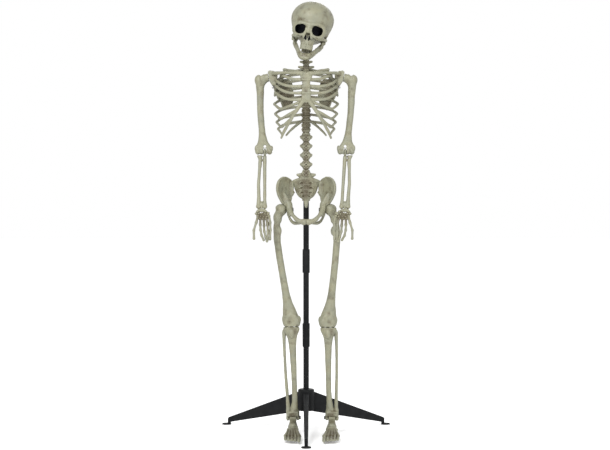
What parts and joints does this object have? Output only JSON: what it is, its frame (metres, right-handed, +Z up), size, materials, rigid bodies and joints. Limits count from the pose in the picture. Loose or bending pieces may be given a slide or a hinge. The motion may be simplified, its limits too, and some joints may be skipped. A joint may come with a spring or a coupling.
{
  "type": "halloween skeleton figure",
  "caption": "Life-size posable plastic human skeleton hung on a three-legged plug-in floor stand, with a swinging jaw and hinged limbs.",
  "frame": {"origin": "on the floor at the middle of the bounding box of the whole figure and stand", "axes": "+Z up through the head; the figure faces -Y; its left hand is at +X"},
  "size_m": [0.6204, 0.542, 1.5331],
  "materials": {
    "bone_plastic": "satin, brown wash in the hollows",
    "joint_plastic": "satin",
    "black_plastic": "fine moulded texture",
    "black_paint": "satin",
    "black_rubber": "matt",
    "steel": "zinc plated"
  },
  "bodies": {
    "stand": {"pole_cap": "black_plastic", "pole_joiner_lower": "black_plastic", "pole_joiner_upper": "black_plastic", "pole_lower": "black_paint", "pole_middle": "black_paint", "pole_upper": "black_paint", "stand_foot_pads": "black_rubber", "stand_hub": "black_plastic", "stand_hub_screws": "steel", "stand_leg_front": "black_plastic", "stand_leg_left": "black_plastic", "stand_leg_right": "black_plastic"},
    "torso": {"pelvis": "bone_plastic", "sacrum": "bone_plastic", "stand_socket": "black_plastic", "spine_rod": "steel", "ribcage_front": "bone_plastic", "ribcage_back": "bone_plastic", "torso_screws": "steel", "cervical_vertebra_1": "bone_plastic", "cervical_vertebra_2": "bone_plastic", "neck_post": "bone_plastic", "lumbar_vertebra_1": "bone_plastic", "lumbar_vertebra_2": "bone_plastic", "lumbar_vertebra_3": "bone_plastic", "lumbar_vertebra_4": "bone_plastic", "lumbar_vertebra_5": "bone_plastic"},
    "neck_turn": {"neck_liner_inner": "joint_plastic"},
    "neck_lean": {"neck_liner_outer": "joint_plastic"},
    "head": {"neck_socket": "joint_plastic", "skull_face": "bone_plastic", "skull_cranium": "bone_plastic", "jaw_pins": "steel", "hanging_eyelet": "steel"},
    "jaw": {"jaw": "bone_plastic"},
    "arm_right": {"humerus_right": "bone_plastic", "shoulder_bolt_right": "steel", "elbow_pin_right": "steel"},
    "forearm_right": {"forearm_right": "bone_plastic"},
    "wrist_right": {"wrist_stem_right": "joint_plastic"},
    "hand_right": {"hand_right": "bone_plastic"},
    "thigh_right": {"femur_right": "bone_plastic", "hip_bolt_right": "steel", "knee_pin_right": "steel"},
    "shin_right": {"shin_right": "bone_plastic", "ankle_bolt_right": "steel"},
    "foot_right": {"foot_right": "bone_plastic"},
    "arm_left": {"humerus_left": "bone_plastic", "shoulder_bolt_left": "steel", "elbow_pin_left": "steel"},
    "forearm_left": {"forearm_left": "bone_plastic"},
    "wrist_left": {"wrist_stem_left": "joint_plastic"},
    "hand_left": {"hand_left": "bone_plastic"},
    "thigh_left": {"femur_left": "bone_plastic", "hip_bolt_left": "steel", "knee_pin_left": "steel"},
    "shin_left": {"shin_left": "bone_plastic", "ankle_bolt_left": "steel"},
    "foot_left": {"foot_left": "bone_plastic"}
  },
  "joints": [
    {"name": "figure_lift", "type": "slide", "parent": "stand", "child": "torso", "axis": [0, 0, 1], "range_m": [0, 0.07]},
    {"name": "head_turn", "type": "hinge", "parent": "torso", "child": "neck_turn", "pos_m": [0.002, 0.032, 1.345], "axis": [0, 0, 1], "range_deg": [-45, 45]},
    {"name": "head_lean", "type": "hinge", "parent": "neck_turn", "child": "neck_lean", "pos_m": [0.002, 0.032, 1.345], "axis": [0, 1, 0], "range_deg": [-20, 6]},
    {"name": "head_nod", "type": "hinge", "parent": "neck_lean", "child": "head", "pos_m": [0.002, 0.032, 1.345], "axis": [1, 0, 0], "range_deg": [-12, 6]},
    {"name": "jaw_open", "type": "hinge", "parent": "head", "child": "jaw", "pos_m": [0.00896, 0.04198, 1.38236], "axis": [0.9839, -0.0698, -0.1646], "range_deg": [-11, 8]},
    {"name": "shoulder_right", "type": "hinge", "parent": "torso", "child": "arm_right", "pos_m": [-0.131, 0.015, 1.25], "axis": [-0.9751, 0, -0.2215], "range_deg": [0, 170]},
    {"name": "elbow_right", "type": "hinge", "parent": "arm_right", "child": "forearm_right", "pos_m": [-0.148, 0.015, 0.991], "axis": [-1, 0, 0], "range_deg": [0, 90]},
    {"name": "wrist_twist_right", "type": "hinge", "parent": "forearm_right", "child": "wrist_right", "pos_m": [-0.154, -0.05, 0.784], "axis": [-0.0276, -0.2995, -0.9537], "range_deg": [-60, 60]},
    {"name": "wrist_bend_right", "type": "hinge", "parent": "wrist_right", "child": "hand_right", "pos_m": [-0.154, -0.05, 0.784], "axis": [-1, 0, 0], "range_deg": [-15, 60]},
    {"name": "hip_right", "type": "hinge", "parent": "torso", "child": "thigh_right", "pos_m": [-0.088, 0.015, 0.787], "axis": [-1, 0, 0], "range_deg": [0, 80]},
    {"name": "knee_right", "type": "hinge", "parent": "thigh_right", "child": "shin_right", "pos_m": [-0.051, 0.015, 0.396], "axis": [1, 0, 0], "range_deg": [0, 100]},
    {"name": "ankle_right", "type": "hinge", "parent": "shin_right", "child": "foot_right", "pos_m": [-0.046, 0.015, 0.06], "axis": [-1, 0, 0], "range_deg": [-30, 20]},
    {"name": "shoulder_left", "type": "hinge", "parent": "torso", "child": "arm_left", "pos_m": [0.131, 0.015, 1.25], "axis": [-0.9751, 0, 0.2215], "range_deg": [0, 170]},
    {"name": "elbow_left", "type": "hinge", "parent": "arm_left", "child": "forearm_left", "pos_m": [0.14, 0.015, 0.991], "axis": [-1, 0, 0], "range_deg": [0, 90]},
    {"name": "wrist_twist_left", "type": "hinge", "parent": "forearm_left", "child": "wrist_left", "pos_m": [0.133, -0.05, 0.784], "axis": [-0.0322, -0.2994, -0.9536], "range_deg": [-60, 60]},
    {"name": "wrist_bend_left", "type": "hinge", "parent": "wrist_left", "child": "hand_left", "pos_m": [0.133, -0.05, 0.784], "axis": [-1, 0, 0], "range_deg": [-15, 60]},
    {"name": "hip_left", "type": "hinge", "parent": "torso", "child": "thigh_left", "pos_m": [0.086, 0.015, 0.787], "axis": [-1, 0, 0], "range_deg": [0, 33]},
    {"name": "knee_left", "type": "hinge", "parent": "thigh_left", "child": "shin_left", "pos_m": [0.076, 0.015, 0.394], "axis": [1, 0, 0], "range_deg": [0, 100]},
    {"name": "ankle_left", "type": "hinge", "parent": "shin_left", "child": "foot_left", "pos_m": [0.09, 0.015, 0.06], "axis": [-1, 0, 0], "range_deg": [-30, 20]}
  ],
  "couplings": [
    {"joint": "knee_right", "follows": "hip_right", "ratio": 1.2},
    {"joint": "knee_left", "follows": "hip_left", "ratio": 1.2}
  ]
}
